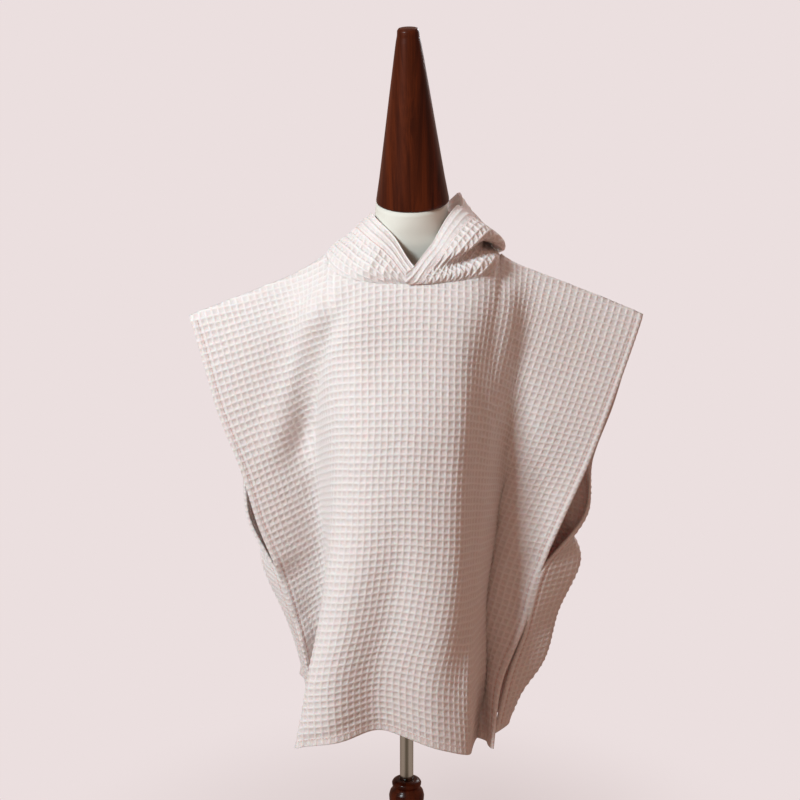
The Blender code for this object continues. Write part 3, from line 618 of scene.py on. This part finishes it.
def stitches(name, lines):
    """Lockstitch along lines of cloth, on its outer and its inner face.  Each stitch is a
    five-sided bar of thread that tapers and dips into the cloth at both ends."""
    angle = np.arange(5) * 2 * math.pi / 5
    along = np.array([-RING_AT, 0.0, RING_AT])[:, None]
    wide, tall = np.cos(angle) * THREAD * (1 - 0.5 * along ** 2), np.sin(angle) * THREAD
    tall = tall * (1 - 0.5 * along ** 2) - DIP * along ** 2
    bars = []
    for middle, normal in lines:
        run = lengths(middle)
        count = int(run[-1] / STITCH)
        at = (np.arange(count) + 0.5) * run[-1] / count
        up = unit(columns(at, run, normal))
        ahead = unit(columns(at + 0.4 * STITCH, run, middle)
                     - columns(at - 0.4 * STITCH, run, middle))
        aside = np.cross(up, ahead)
        for height in FACES:
            lift = up * (1 if height > 0 else -1)
            centre = columns(at, run, middle) + up * height
            ring = (centre[:, None, None] + ahead[:, None, None] * (along * STITCH * 0.5)[..., None]
                    + aside[:, None, None] * wide[..., None]
                    + lift[:, None, None] * tall[..., None])
            ends = [centre + ahead * end * TIP_AT * STITCH - lift * DIP for end in (-1, 1)]
            bars.append(np.concatenate([ring.reshape(count, 15, 3), np.stack(ends, 1)], 1))
    points = np.concatenate(bars)
    j = np.arange(5)
    k = (j + 1) % 5
    quads = np.vstack([np.stack([i + j, i + k, i + 5 + k, i + 5 + j], -1) for i in (0, 5)])
    fans = np.vstack([np.stack([15 + 0 * j, k, j], -1),
                      np.stack([16 + 0 * j, 10 + j, 10 + k], -1)])
    # the bars of the inner face are mirror images, so their faces are turned about
    flat = points[:, [0, 1, 6, 5]]
    inward = np.einsum("ij,ij->i", np.cross(flat[:, 1] - flat[:, 0], flat[:, 3] - flat[:, 0]),
                       flat[:, 0] - points[:, :5].mean(1)) < 0
    base = np.arange(len(points))[:, None, None] * 17
    quads = np.where(inward[:, None, None], quads[:, ::-1], quads) + base
    fans = np.where(inward[:, None, None], fans[:, ::-1], fans) + base
    piece = solid(name, points.reshape(-1, 3) * 0.001, quads.reshape(-1, 4), fans.reshape(-1, 3),
                  thread)
    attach(piece, "root")
    return piece


for name, panel, creases in (("front_panel", front, FRONT_CREASES),
                             ("back_panel", back, BACK_CREASES)):
    *faces, lines = panel_cloth(panel, creases)
    piece = shell(name, *faces)
    neck = math.pi / 2 * NECK_HALF * panel.drop
    0.36 - (neck + SHOULDER_DROP * (HALF - NECK_HALF)) * 1e-6
    stitches(name + "_stitches", lines)

# ---------------------------------------- hood
# Two curved halves sewn into the neckline and to each other down the centre back, the
# right one lapped over the left at the throat.  The hood lies down: its cloth rises from
# the neck seam, turns over in soft folds and hangs down the back as a pouch.
NECK_X = 8.0                    # the upright axis the folds are set out from
HOOD_BEND, HOOD_LAP = 5.0, 3.1  # rounding of its corners; right half over the left
HOOD_BAND = 3 * PITCH           # width of the band that is turned in round the face
OVERLAP = 14                    # mm of the neckline that each half runs on past the middle
FIRST_ANGLE, WIDEST_ANGLE = -9, 50      # where a half starts, and where it is widest
LAP_ANGLE, LAP_OVER = 11, 14    # where the lap starts to sink, and within how many degrees
ANGLES, STATIONS = 226, 211     # lines of points up a half, and points to each line
HOOD_CORNERS = ("swell", "inner", "tuck", "hang", "outer", "rim")
HOOD_ROW = "angle " + " ".join(name + "_r " + name + "_z" for name in HOOD_CORNERS)
HOOD_LEFT = table(HOOD_ROW, [
    (-9,  67, 772,   67, 772.8, 67, 773.8, 67, 774.8, 67, 776,   66.6, 777),
    (0,   67, 774,   67, 776.5, 66.6, 779, 65.4, 782, 64, 784.5, 62, 787),
    (24,  74, 779,   71, 786,   66, 793,   61, 801,   55, 809,   49, 815),
    (50,  88, 786,   81, 796,   73, 805,   66, 815,   58, 825,   49.5, 834),
    (90,  103, 797.5,  95, 805,   85, 811,   75, 818,   63, 831,   50, 842),
    (110, 90, 808,   83, 814,   75, 819,   69, 825,   62, 831,   56, 836),
    (126, 68, 816,   60, 828,   66, 833,   80, 812,   92, 815,   76, 830),
    (140, 57, 823,   58, 834,   68, 837,  112, 748,  127, 750,   90, 829),
    (160, 50, 827,   53, 837,   67, 839,  112, 668,  136, 668,  108, 829),
    (180, 48, 826,   52, 837,   67, 838,  108, 648,  134, 646,  126, 828)])
HOOD_RIGHT = table(HOOD_ROW, [
    (-9,  68, 773,   68.8, 774.5, 69.2, 776, 69.2, 777.7, 68.9, 779.4, 68.3, 781),
    (0,   67, 774,   67, 776.5, 66.6, 779, 65.4, 782, 64, 784.5, 62, 787),
    (22,  76, 778,   69, 784,   68.5, 789, 71, 795,   62, 803,   52, 810),
    (45,  89, 786,   70, 789,   69, 799,   87, 808,   79, 819,   47, 833),
    (68,  101, 796,  75, 803,   74, 814,   96, 819,   90, 829,   48, 848),
    (82,  101, 797,  76, 803,   78, 816,  103, 807,  102, 817,   50, 852),
    (95,  100, 798,  77, 804,   82, 817,  107, 797,  108, 808,   55, 850),
    (112, 83, 811,   76, 818,   87, 827,  105, 789,  114, 796,   60, 860),
    (127, 62, 823,   62, 834,   74, 837,  103, 770,  119, 776,   67, 864),
    (142, 54, 828,   56, 839,   70, 842,  121, 715,  138, 720,   85, 860),
    (160, 50, 828,   53, 839,   68, 841,  113, 664,  137, 664,  108, 845),
    (180, 48, 826,   52, 837,   67, 838,  108, 648,  134, 646,  126, 828)])

# Soft pleats of each side that run up from the neck seam: the angle they start at and end
# at, how far up they reach in stations, their half width in degrees and their height.
PLEATS = {
    -1: [(30, 22, 3.6, 4, 1.4), (42, 36, 4.2, 4.5, 2), (54, 52, 4.4, 4, -1.6),
         (64, 66, 4, 4.5, 1.8), (78, 84, 3.6, 4.5, -1.4),
         (128, 134, 5.6, 6, 2.2), (150, 156, 5.8, 6, -2)],
    1: [(24, 20, 1.6, 3.5, 0.8), (40, 38, 1.6, 3.5, 0.9), (56, 56, 1.6, 4, 0.9),
        (132, 138, 5.6, 6, 2.2), (152, 158, 5.8, 6, -2)]}


def pleat_height(side, angles, stations):
    """Sum of the pleats of one side: a bell across the angle, swelling along the stations."""
    total = np.zeros((len(angles), len(stations)))
    for start, end, reach, width, height in PLEATS[side]:
        t = np.clip(stations / reach, 0, 1)
        off = (angles[:, None] - (start + (end - start) * t)) / width
        total += height * np.sin(math.pi * t) * bell(off)
    return total


class HoodHalf:
    """Half of the hood as a map from (angle, station) to space: angle 0 is the middle of
    the front and 180 the back seam; station 0 is the neck seam and 1 to 6 are the corners
    of HOOD_CORNERS, the last being the rim."""

    def __init__(self, sheet, side, lap=0.0):
        self.sheet, self.side, self.lap = sheet, side, lap
        points, normals, corner = [], [], None
        count = int(NECK_HALF) + 1          # a point to each mm of the neckline
        for panel, u in ((front, side * np.linspace(-OVERLAP, NECK_HALF, OVERLAP + count)),
                         (back, side * np.linspace(NECK_HALF, 0, count))):
            top = top_line(u, panel.drop)
            normal = panel.normal(u, top)
            if corner is None:
                corner = unit(mitred(normal[-1:], np.array([0, 1.0, 0])))
            # where the panels meet at the shoulder their normals turn through the mitre
            keep = by_shoulder(u, MITRE_FADE)
            points.append(panel(u, top))
            normals.append(unit(normal * (1 - keep) + corner * keep))
        self.points, self.normals = np.vstack(points), np.vstack(normals)
        turn = np.unwrap(np.arctan2(side * (self.points[:, 0] - NECK_X), -self.points[:, 1]))
        turn -= turn[OVERLAP]
        self.angles = np.degrees(turn) * math.pi / turn[-1]

    def corners(self, angle):
        """The neck seam and the six corners at one angle."""
        row = {name: smooth_run(self.sheet["angle"], column, np.array([angle]))[0]
               for name, column in self.sheet.items()}
        a = math.radians(angle)
        out = [columns(angle, self.angles, self.points)]
        for name in HOOD_CORNERS:
            r = row[name + "_r"]
            out.append((NECK_X + self.side * r * math.sin(a), -r * math.cos(a), row[name + "_z"]))
        return np.array(out)

    def line(self, angle, stations):
        corners = self.corners(angle)
        line, t, along = soften(corners, min(HOOD_BEND, 0.15 * lengths(corners)[-1]), 801)
        return columns(np.interp(stations, np.arange(len(corners)), along), t, line)

    def __call__(self, angles, stations):
        return np.stack([self.line(a, stations) for a in angles])

    def normal(self, angles, stations, e=0.5):
        ahead = self(np.minimum(angles + e, 180), stations)
        behind = self(np.maximum(angles - e, FIRST_ANGLE), stations)
        up = (self(angles, np.minimum(stations + 0.03, len(HOOD_CORNERS)))
              - self(angles, np.maximum(stations - 0.03, 0)))
        return self.side * unit(np.cross(ahead - behind, up))

    def seam_frame(self, angle):
        """Across the neck seam from panel to hood, and the shared offset direction."""
        at = lambda x, rows: columns(x, self.angles, rows)
        along = unit(at(angle + 0.8, self.points) - at(angle - 0.8, self.points))
        normal = unit(at(angle, self.normals))
        hood_way = np.array([np.subtract(*self.corners(x)[1::-1]) for x in angle])
        hood_way = unit(hood_way - (hood_way * along).sum(-1, keepdims=True) * along)
        across = unit(unit(self.side * np.cross(normal, along)) + hood_way)
        return across, mitred(normal, across)


def hood_cloth(half):
    """Middle, offset direction and weave of a hood half.  The weave is measured from the
    rim, and along each line from where the half is widest, so no line is stretched."""
    angles = np.linspace(FIRST_ANGLE, 180, ANGLES)
    stations = np.linspace(0, len(HOOD_CORNERS), STATIONS)
    middle, normal = half(angles, stations), half.normal(angles, stations)
    across, offset = half.seam_frame(angles)
    from_seam, run = lengths(middle, 1), lengths(middle, 0)
    from_rim = from_seam[:, -1:] - from_seam
    run -= run[np.argmin(np.abs(angles - WIDEST_ANGLE))]
    near = bell(from_seam / SEAM_TURN)[..., None]
    middle += across[:, None] * SEAM / 2 * near
    normal = normal * (1 - near) + offset[:, None] * near
    lap = half.lap * (1 - np.clip((angles - LAP_ANGLE) / LAP_OVER, 0, 1))
    middle += unit(normal) * (lap[:, None] + pleat_height(half.side, angles, stations))[..., None]
    # the centre back seam lies in the middle plane
    back_seam = bell(np.maximum(run[-1] - run, 0) / SEAM_TURN)
    middle[-1, :, 0] = NECK_X + half.side * SEAM / 2
    flat = mitred(normal, np.array([1.0, 0, 0]))
    normal = normal * (1 - back_seam[..., None]) + flat * back_seam[..., None]
    hem = 1 - ease(from_rim, HOOD_BAND - 1, HOOD_BAND + 1)
    stitch = sewn(from_rim - HOOD_BAND + 1.0)
    pressed = np.maximum(hem, 0.5 if half.side < 0 else 0.2)     # worn flatter on the left
    relief = (waffle_relief(run / PITCH, from_rim / PITCH, 0.75 * hem)
              * (1.1 - 0.8 * pressed + 0.7 * hem))
    seam = np.maximum(near[..., 0], back_seam)
    outer, inner = faces_of(middle, normal, relief, hem, stitch, seam)
    index = np.arange(outer[..., 0].size).reshape(outer.shape[:2])
    weave = np.stack([run / PITCH, from_rim / PITCH, pressed], -1)
    # the band is stitched down along its inner edge
    k = np.arange(1, len(angles) - 1)
    station = np.argmin(np.abs(from_rim[k] - HOOD_BAND + 1.0), axis=1)
    lines = [(middle[k, station], normal[k, station])]
    return outer, inner, cells_of(index), weave, lines


for name, half in (("hood_left", HoodHalf(HOOD_LEFT, -1)),
                   ("hood_right", HoodHalf(HOOD_RIGHT, 1, HOOD_LAP))):
    *faces, lines = hood_cloth(half)
    piece = shell(name, *faces)
    stitches(name + "_stitches", lines)

# ---------------------------------- dress form
# The torso and neck: a moulded shell under a tight off-white jersey cover, without
# arms or head.  It is drawn in round the foot and runs up into the wooden neck cap.
FORM_LEAN = 0.0075              # the form stands this much out of upright, to +x
# Rings from the foot up; lean tips a ring to the cap's foot, drop lowers its right end.
FORM = table("z half_width front back lean drop", [
    (432,  60, -44, 46, 0, 0), (434, 70, -53, 54, 0, 0),
    (440,  77, -60, 59, 0, 0), (452, 82, -65, 62, 0, 0), (480, 84, -69, 63, 0, 0),
    (520,  84, -71, 63, 0, 0), (565, 84, -72, 62, 0, 0), (620, 89, -75, 62, 0, 0),
    (675,  98, -76, 62, 0, 0.6), (716.5, 107, -70, 59, 0, 0.5), (748, 116, -57, 49, 0, -0.4),
    (769, 117, -42, 38, 0, -1.2), (779.5, 111, -34, 33, 0, -1.7), (787.5, 101, -32, 32.5, 0, -1.9),
    (795, 86, -33, 36, 0, -2.3), (802.5, 70, -36, 38, .1, -2.4), (812, 57, -39, 40, .2, -1.5),
    (824, 47, -41, 39, .4, 0.4), (838, 43, -44, 37, .7, 0), (857, 41.5, -46, 36, 1, 0)])
CAP_FOOT, CAP_TIP = (6.4, -5.0, 857.0), (0.5, -52.0, 1050.0)


def form_rings(count, steps):
    """Rounded oblongs |x|^p + |y|^p = 1 on the half widths and depths of the table, with
    steps rings to each of its rows, leant towards the plane of the neck cap's foot."""
    knots = FORM["z"]
    z = np.interp(np.arange(steps * (len(knots) - 1) + 1) / steps, np.arange(len(knots)), knots)
    row = {name: np.interp(z, knots, column)[:, None] for name, column in FORM.items()}
    angle = np.linspace(0, 2 * math.pi, count, endpoint=False)
    power = 2 + 0.35 * np.maximum(0, 1 - np.abs(row["z"] - 700) / 180)
    round_off = lambda wave: np.sign(wave) * np.abs(wave) ** (2 / power)
    x = row["half_width"] * round_off(np.cos(angle))
    y = np.where(np.sin(angle) > 0, row["back"], -row["front"]) * round_off(np.sin(angle))
    x = x + FORM_LEAN * (row["z"] - 175)
    way = np.subtract(CAP_TIP, CAP_FOOT)
    slope = ((x - CAP_FOOT[0]) * way[0] + (y - CAP_FOOT[1]) * way[1]) / way[2]
    drop = row["drop"] * (x - x.mean(1, keepdims=True)) / row["half_width"]
    return np.stack([x, y, row["z"] - slope * row["lean"] - drop], -1)


def ringed(name, rings, surface, bored=False):
    """A closed solid through rings of points: quads from ring to ring, and then a fan to
    the middle of each end or, where it is bored, quads from the last ring to the first."""
    rows, count = rings.shape[:2]
    j = np.arange(count)
    k = (j + 1) % count
    i = np.arange(rows if bored else rows - 1)[:, None]
    n = (i + 1) % rows
    quads = np.stack([i * count + j, i * count + k, n * count + k, n * count + j], -1)
    points, quads = rings.reshape(-1, 3), quads.reshape(-1, 4)
    fans = np.empty((0, 3), int)
    if not bored:
        first, last = rows * count + 0 * j, (rows - 1) * count + j
        points = np.vstack([points, rings[0].mean(0), rings[-1].mean(0)])
        fans = np.vstack([np.stack([first, k, j], -1),
                          np.stack([first + 1, last, k + last[0]], -1)])
    return solid(name, points * 0.001, *outward(points, quads, fans), surface)


cover, place, shader = finish("form_cover", base_color=(0.70, 0.68, 0.61, 1), roughness=0.7,
                              specular_ior_level=0.3, sheen_weight=0.1)
rib = place.node("TexWave", {"wave_type": "BANDS", "bands_direction": "X"},
                 {"Vector": place, "Scale": 330.0, "Distortion": 0.4, "Detail": 1.0})
pile = place.noise(700.0)
emboss(shader, rib * 0.6 + pile * 0.4, 0.12, 0.0003)
feed(shader, "Base Color", (pile * 0.5 + 0.25).dye((0.69, 0.67, 0.60, 1), (0.73, 0.71, 0.64, 1)))
fit(ringed("dress_form_cover", form_rings(112, 3), cover), "dress_form")

# ------------------------------------ neck cap
# A tall cone turned from hardwood, stained dark red-brown and varnished to a gloss.  It
# stands on the form's neck, a little out of upright, and ends in a small flat knob.
CAP = [                         # each profile: along the axis, and the radius there
    (0.4, 38.6), (0.4, 41.2), (1.6, 42.3), (4, 42.4), (30, 37.9), (60, 33.3), (90, 28.7),
    (120, 24.2), (150, 19.6), (176, 15.6), (186, 14), (191, 12.9), (193, 12.6),
    (198, 12.3), (200, 10.8)]


def turned(profile, count, foot=(0, 0, 0), tip=(0, 0, 1), corner=0.35):
    """Rings of a turned piece: each corner of its profile is cut back by the distance
    corner on both sides, and the profile goes round the axis from foot to tip."""
    profile = np.array(profile, float)
    step = np.diff(profile, axis=0)
    run = np.linalg.norm(step, axis=1, keepdims=True)
    inset = np.minimum(corner, run / 3) * step / run
    profile = np.vstack([profile[:1], np.stack([profile[:-1] + inset, profile[1:] - inset],
                                               1).reshape(-1, 2), profile[-1:]])
    foot, axis = np.array(foot, float), unit(np.subtract(tip, foot).astype(float))
    side = unit(np.cross(axis, np.array([0, 1.0, 0])))
    other = np.cross(axis, side)
    angle = np.linspace(0, 2 * math.pi, count, endpoint=False)
    ring = np.cos(angle)[:, None] * side + np.sin(angle)[:, None] * other
    return foot + axis * profile[:, :1, None] + ring * profile[:, 1:, None]


# stained hardwood under varnish: fine fibres drawn out along Z
wood, place, shader = finish("dark_wood", roughness=0.32, specular_ior_level=0.12,
                             coat_weight=0.10, coat_roughness=0.12)
drawn = place.node("Mapping", (), {"Vector": place, "Scale": (95.0, 95.0, 5.0)})
fibre, pore = drawn.noise(1.0, 6.0, Roughness=0.65, Distortion=0.6), drawn.noise(5.0)
feed(shader, "Base Color", fibre.ease(0.34, 0.68).dye((0.036, 0.006, 0.002, 1),
                                                      (0.098, 0.017, 0.004, 1)))
feed(shader, "Roughness", 0.26 + fibre * 0.16)
emboss(shader, fibre * 0.6 + pore * 0.4, 0.08, 0.0002)
fit(ringed("neck_cap_wood", turned(CAP, 96, CAP_FOOT, CAP_TIP), wood), "neck_cap")

# ------------------------ pole, knob and stand
# A bright chromed tube goes up into the form; dark bands down its front and back and along its
# sides are painted reflections of dark things in the room.
# It stands in a turned knob on a round foot, both of the same dark varnished wood.
POLE = [(84.3, 7.7), (85.1, 8.5), (430.5, 8.5), (431.7, 7.6)]
KNOB = [
    (92, 8.8), (92, 14), (93.5, 17.5), (97, 20.5), (102, 22), (107.5, 22.3), (113, 21), (117, 18),
    (119.5, 16.5), (122, 18.3), (125, 18.6), (127.5, 17), (129, 13.5), (129, 8.8)]
STAND = [
    (0, 128), (0, 136), (2.5, 139.5), (7, 140), (13, 138.5), (17, 134), (20, 126), (21.5, 112),
    (24, 60), (26.5, 36), (31, 26), (38, 20), (48, 16.5), (58, 15.5), (66, 17), (72, 19.5),
    (77, 20.5), (81, 19.5), (83.5, 15.5), (84, 10)]

chrome, place, shader = finish("chrome_pole", metallic=1.0)
beside = place.parts()[0].math("ABSOLUTE") * 1000.0     # mm beside the pole's middle
# painted reflection: a dark band down the front and back, and a darkening towards both sides,
# painted into the base colour
painted_reflection_streak = (1.0 - beside.ease(0.6, 3.6)) * 0.8
edge = beside.ease(6.0, 8.4) * 0.55
feed(shader, "Base Color", (painted_reflection_streak + edge).dye((0.70, 0.86, 0.86, 1), (0.16, 0.19, 0.14, 1)))
drawn = place.node("Mapping", (), {"Vector": place, "Scale": (900.0, 900.0, 12.0)})
scratch = drawn.noise(1.0, 3.0)
feed(shader, "Roughness", 0.10 + scratch * 0.14)
emboss(shader, scratch, 0.05, 0.0001)
fit(ringed("pole_tube", turned(POLE, 72), chrome), "pole")
fit(ringed("pole_knob_wood", turned(KNOB, 80), wood, bored=True), "pole_knob")
fit(ringed("stand_wood", turned(STAND, 120), wood), "stand")

# --------------------- floor, light and camera
# A plain pale floor that runs into a backdrop of the same pink, a soft light from the
# front left, a broad one from behind on the right and a dim one above.
BACKDROP = (0.831, 0.738, 0.738, 1)
SHADE_LIGHT = (0.350, 0.220, 0.173, 1)  # what the cloth gets from the room
FLOOR_RADIUS, FLOOR_CORNERS = 60, 96    # metres, far past the camera
bpy.context.scene.view_settings.view_transform = "Standard"


def soft_light(name, place, target, size, power, colour):
    """A square of light, size metres wide and power watts strong, turned to the target."""
    lamp = bpy.data.lights.new(name, "AREA")
    lamp.shape, lamp.size, lamp.energy, lamp.color = "SQUARE", size, power, colour
    made = placed(name, lamp)
    made.location = place
    made.rotation_euler = (made.location - Vector(target)).to_track_quat("Z", "Y").to_euler()


floor_finish, place, shader = finish("floor", base_color=(0.5, 0.43, 0.42, 1), roughness=0.9)
seen = place.node("LightPath", out=0)
glow, bounce = (place.node("Emission", (), {"Color": colour, "Strength": 1.0})
                for colour in (BACKDROP, SHADE_LIGHT))
# the shade under the stand fades out before the backdrop starts
spot = place.node("VectorMath", {"operation": "LENGTH"}, {0: place}, out=1)
blend = place.node("MixShader", (), {0: 0.70 + spot.ease(0.12, 0.55) * 0.30,
                                     1: Thread(place.tree, shader.outputs[0]), 2: glow})
blend = place.node("MixShader", (), {0: seen, 1: bounce, 2: blend})
feed(floor_finish.node_tree.nodes["Material Output"], "Surface", blend)
ring = np.linspace(0, 2 * math.pi, FLOOR_CORNERS, endpoint=False)
ring = FLOOR_RADIUS * np.stack([np.cos(ring), np.sin(ring), 0 * ring], 1)
floor_mesh = bpy.data.meshes.new("floor")
floor_mesh.from_pydata(ring.tolist(), [], [list(range(FLOOR_CORNERS))])
floor_mesh.materials.append(floor_finish)
floor = placed("floor", floor_mesh)

soft_light("key", (-1.30, -1.445, 1.66), (0, 0, 0.62), 0.5, 48.5, (0.80, 0.93, 0.98))
soft_light("behind", (1.3, 2.3, 1.9), (0, 0, 0.6), 1.2, 42, (0.92, 0.96, 1.0))
soft_light("above", (0.0, -0.2, 3.2), (0, 0, 0.5), 1.5, 4, (0.9, 0.95, 1.0))

world = bpy.data.worlds.new("studio")
bpy.context.scene.world = world
world.use_nodes = True
room = Thread(world.node_tree)
feed(world.node_tree.nodes["Background"], "Color",
     room.node("LightPath", out=0).dye(SHADE_LIGHT, BACKDROP))

lens = bpy.data.cameras.new("camera")
lens.lens, lens.sensor_width = 67.5, 36.0
camera = placed("camera", lens)
camera.location = (-0.0084, -1.7607, 0.9942)
camera.rotation_euler = (math.radians(78.0), 0, 0)
bpy.context.scene.camera = camera
